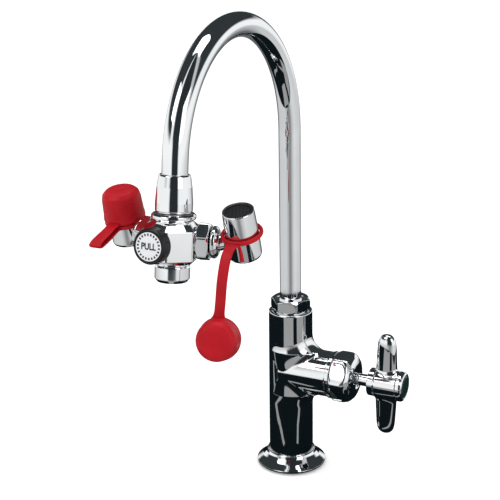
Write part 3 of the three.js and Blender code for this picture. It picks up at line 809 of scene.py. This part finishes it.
def caps():
    left = head_place("left")
    dress(dust_cap("left_dust_cap_visual", left @ placed(z=CAP_SEAT)), "left_dust_cap")
    loop = strap("left_strap_visual", [
        (0, -13.2, 5.4), (-0.4, -18.5, 4.3), (-0.8, -24, 3.4), (-1.6, -31, 2.5), (-2, -34.2, 2.7),
        (-2, -34.8, 4.3), (-1.6, -31.6, 5.9), (-0.8, -24, 7.1), (-0.4, -18.5, 7.9), (0, -13.6, 8.9),
    ], lambda t: 7.4 + 1.6 * math.sin(math.pi * t) + 2.5 * abs(2 * t - 1) ** 14, 1.5, left)
    dress(loop, "left_cap_strap")
    crown = Vector((0.341, -0.898, 0.278)).normalized()
    up = (Vector((0, 0, 1)) - crown * crown.z).normalized()
    turn = Matrix((up.cross(crown), up, crown)).transposed().to_4x4()
    hanging = placed(42, -198.4, 186.9) @ turn
    dress(dust_cap("right_dust_cap_visual", hanging), "right_dust_cap")
    tether = strap("right_strap_visual", [
        (43.5, -181.4, 243.2), (43.5, -184.6, 242.0), (43.4, -188.4, 239.0), (43, -191.6, 232.6),
        (42.4, -194.2, 222), (41.9, -195.6, 211), (41.2, -196.2, 203.0), (40.7, -196.9, 197.6),
    ], lambda t: 7.2 + 6.0 * (max(t - 0.82, 0) / 0.18) ** 2 + 2.6 * max(0.12 - t, 0) / 0.12, 1.6, DECK)
    dress(tether, "right_cap_strap")


# ---- hidden CAD nodes keep their own solids, with a worked material -------------------------------------


def finish_cad_nodes():
    for name, node in frame["nodes"].items():
        node.data.materials.clear()
        node.data.materials.append(FINISH[SLOT_OF[name]])


# ---- studio --------------------------------------------------------------------------------------------


def turn_of(degrees):
    """A heading in degrees from +X as a place on the 0 to 1 ramp round the room."""
    return ((degrees + 180) % 360) / 360


BACKDROP = 1.05
COUNTER_R = 440
FRONT = -63

# Brightness round the room, by heading in degrees from +X. FRONT is the side that the viewer stands on.
ROOM_FLOOR = [
    (turn_of(-180), 0.62), (turn_of(FRONT - 45), 0.66), (turn_of(FRONT - 22), 0.50),
    (turn_of(FRONT - 7), 0.25), (turn_of(FRONT + 7), 0.25), (turn_of(FRONT + 22), 0.52),
    (turn_of(FRONT + 45), 0.72), (turn_of(62), 0.60), (turn_of(82), 0.12), (turn_of(152), 0.12),
    (turn_of(172), 0.60),
]
ROOM_SIDES = [
    (turn_of(-180), 0.95), (turn_of(FRONT - 30), 0.95), (turn_of(FRONT - 22), 0.02),
    (turn_of(FRONT + 22), 0.02), (turn_of(FRONT + 30), 0.95), (turn_of(88), 0.95), (turn_of(98), 0.05),
    (turn_of(136), 0.05), (turn_of(146), 0.95),
]
ROOM_CEILING = [
    (turn_of(-180), 0.03), (turn_of(-120), 0.03), (turn_of(-112), 0.9), (turn_of(-98), 0.9),
    (turn_of(-90), 0.02), (turn_of(-14), 0.02), (turn_of(-8), 0.55), (turn_of(4), 0.55),
    (turn_of(10), 0.03), (turn_of(170), 0.03),
]


def world():
    """White surroundings. Mirror surfaces also see a darker room: a ceiling, a front band and side flags."""
    made = bpy.data.worlds.new("studio")
    scene.world = made
    made.use_nodes = True
    tree = made.node_tree
    nodes, links = tree.nodes, tree.links
    output = nodes["World Output"]
    plain = nodes["Background"]
    plain.inputs["Color"].default_value = (1, 1, 1, 1)
    plain.inputs["Strength"].default_value = 0.9
    room = nodes.new("ShaderNodeBackground")
    coordinate = nodes.new("ShaderNodeTexCoord")
    split = nodes.new("ShaderNodeSeparateXYZ")
    links.new(coordinate.outputs["Generated"], split.inputs["Vector"])

    def math_node(operation, *values):
        node = nodes.new("ShaderNodeMath")
        node.operation = operation
        for socket, value in zip(node.inputs, values):
            if isinstance(value, (int, float)):
                socket.default_value = value
            else:
                links.new(value, socket)
        return node.outputs[0]

    def ramp(source, stops):
        node = nodes.new("ShaderNodeValToRGB")
        fill_ramp(node, [(place, (value, value + 0.006, value + 0.009)) for place, value in stops])
        links.new(source, node.inputs["Fac"])
        return node.outputs["Color"]

    heading = math_node("ARCTAN2", split.outputs["Y"], split.outputs["X"])
    around = math_node("DIVIDE", math_node("ADD", heading, math.pi), 2 * math.pi)
    height = math_node("MULTIPLY_ADD", split.outputs["Z"], 0.5, 0.5)

    def layer(lower, upper, stops):
        node = nodes.new("ShaderNodeMix")
        node.data_type = "RGBA"
        links.new(ramp(height, stops), node.inputs[0])
        links.new(lower, node.inputs[6])
        links.new(upper, node.inputs[7])
        return node.outputs[2]

    walls = layer(ramp(around, ROOM_FLOOR), ramp(around, ROOM_SIDES), [(0.40, 0.0), (0.46, 1.0)])
    whole = layer(walls, ramp(around, ROOM_CEILING), [(0.60, 0.0), (0.66, 1.0)])
    links.new(whole, room.inputs["Color"])
    room.inputs["Strength"].default_value = 1.0
    path = nodes.new("ShaderNodeLightPath")
    pick = nodes.new("ShaderNodeMixShader")
    links.new(path.outputs["Is Glossy Ray"], pick.inputs[0])
    links.new(plain.outputs[0], pick.inputs[1])
    links.new(room.outputs[0], pick.inputs[2])
    backdrop = nodes.new("ShaderNodeBackground")
    backdrop.inputs["Color"].default_value = (1, 1, 1, 1)
    backdrop.inputs["Strength"].default_value = BACKDROP
    show = nodes.new("ShaderNodeMixShader")
    links.new(path.outputs["Is Camera Ray"], show.inputs[0])
    links.new(pick.outputs[0], show.inputs[1])
    links.new(backdrop.outputs[0], show.inputs[2])
    links.new(show.outputs[0], output.inputs["Surface"])


def lamp(name, place, target, width, height, power):
    light = bpy.data.lights.new(name, "AREA")
    light.shape = "RECTANGLE"
    light.size = width
    light.size_y = height
    light.energy = power
    holder = bpy.data.objects.new(name, light)
    scene.collection.objects.link(holder)
    holder.location = place
    holder.rotation_euler = (Vector(target) - Vector(place)).to_track_quat("-Z", "Y").to_euler()


def stage_sheet(name, corners, height, colour, glow):
    """A flat sheet of the studio, from its corners in millimetres."""
    n = Nodes(name)
    tint = n.colours(n.noise(3), [(0.3, colour), (0.7, tuple(c * 0.985 for c in colour))])
    n.link(tint, n.shader.inputs["Base Color"])
    n.set(Roughness=0.8, Specular_IOR_Level=0.0, Emission_Color=(1, 1, 1, 1), Emission_Strength=glow)
    points = [(x, y, 0) for x, y in corners]
    sheet = mesh_piece(name, points, [list(range(len(points)))], n.material, placed(z=height))
    return sheet


def box_corners(left, front, right, back):
    return [(left, front), (right, front), (right, back), (left, back)]


def wedge_corners(near, far, first, last):
    """A sector seen from the column: from near to far, between two headings in degrees."""
    corners = [(near, first), (far, first), (far, last), (near, last)]
    return [(r * math.cos(math.radians(h)), r * math.sin(math.radians(h))) for r, h in corners]


def ribbon_corners(route, start_width, end_width):
    """A light strip along a bent route, growing wider away from the column."""
    points = [Vector(point) for point in route]
    left, right = [], []
    for k, point in enumerate(points):
        ahead = points[min(k + 1, len(points) - 1)] - points[max(k - 1, 0)]
        across = Vector((-ahead.y, ahead.x)).normalized() / 2
        width = start_width + (end_width - start_width) * k / (len(points) - 1)
        left.append(point + across * width)
        right.append(point - across * width)
    return right + left[::-1]


def reflected_sheets():
    """A dark counter with light strips and paler areas further out. Only mirror surfaces see them."""
    dark = (0.004, 0.007, 0.009)
    black = (0, 0, 0)
    headings = np.linspace(0, 2 * math.pi, 49)[:-1]
    counter = [(COUNTER_R * math.cos(angle), COUNTER_R * math.sin(angle)) for angle in headings]
    left_route = [(-8, -60), (-30, -76), (-54, -84), (-100, -78), (-164, -61), (-235, -54)]
    right_route = [(50, -38), (84, -56), (130, -58), (172, -52), (310, -28)]
    sheets = [
        stage_sheet("counter", counter, 0.0, dark, 0.0),
        stage_sheet("front_patch", wedge_corners(215, COUNTER_R, -101, -52), 0.3, black, 0.33),
        stage_sheet("right_patch", wedge_corners(250, COUNTER_R, -34, 16), 0.3, black, 0.33),
        stage_sheet("left_strip", ribbon_corners(left_route, 9, 30), 0.6, black, 0.30),
        stage_sheet("right_strip", ribbon_corners(right_route, 9, 34), 0.6, black, 0.30),
    ]
    for sheet in sheets:
        sheet.visible_camera = False
        sheet.visible_diffuse = False
        sheet.visible_shadow = False


def studio():
    world()
    floor = stage_sheet("floor", box_corners(-4000, -4000, 4000, 4000), -0.2, (0.93, 0.93, 0.93), 0.25)
    floor.visible_glossy = False
    floor.visible_diffuse = False
    reflected_sheets()
    middle = (0, -0.08, 0.2)
    lamp("key", (-0.7, -1.3, 1.5), middle, 0.9, 0.9, 6)
    lamp("fill", (1.4, -0.7, 0.9), middle, 0.8, 0.8, 3)
    lamp("top", (0.0, 0.1, 1.7), middle, 1.2, 0.5, 5)
    scene.view_settings.view_transform = "Standard"


def camera():
    """The viewing place: to the right of the front, a little above the object, looking slightly down."""
    around, distance, height = math.radians(24.58), 838.08, 438.91
    aside = math.radians(2.18)
    heading = around + aside
    pitch, roll = math.radians(16.88), math.radians(-0.98)
    level = Vector((-math.sin(heading), math.cos(heading), 0))
    forward = level * math.cos(pitch) - Vector((0, 0, math.sin(pitch)))
    right = forward.cross(Vector((0, 0, 1))).normalized()
    up = right.cross(forward)
    tilt_right = right * math.cos(roll) + up * math.sin(roll)
    tilt_up = -right * math.sin(roll) + up * math.cos(roll)
    lens = bpy.data.cameras.new("camera")
    lens.sensor_width = 36
    lens.lens = 79.5
    lens.clip_start = 0.01
    holder = bpy.data.objects.new("camera", lens)
    scene.collection.objects.link(holder)
    turn = Matrix((tilt_right, tilt_up, -forward)).transposed().to_4x4()
    holder.matrix_world = placed(distance * math.sin(around), -distance * math.cos(around), height) @ turn
    scene.camera = holder


deck_mounting()
column()
bonnet()
handle()
gooseneck()
eyewash_body()
pull_knob()
for side_name in ("left", "right"):
    arm(side_name)
    spray_head(side_name)
caps()
finish_cad_nodes()
studio()
camera()
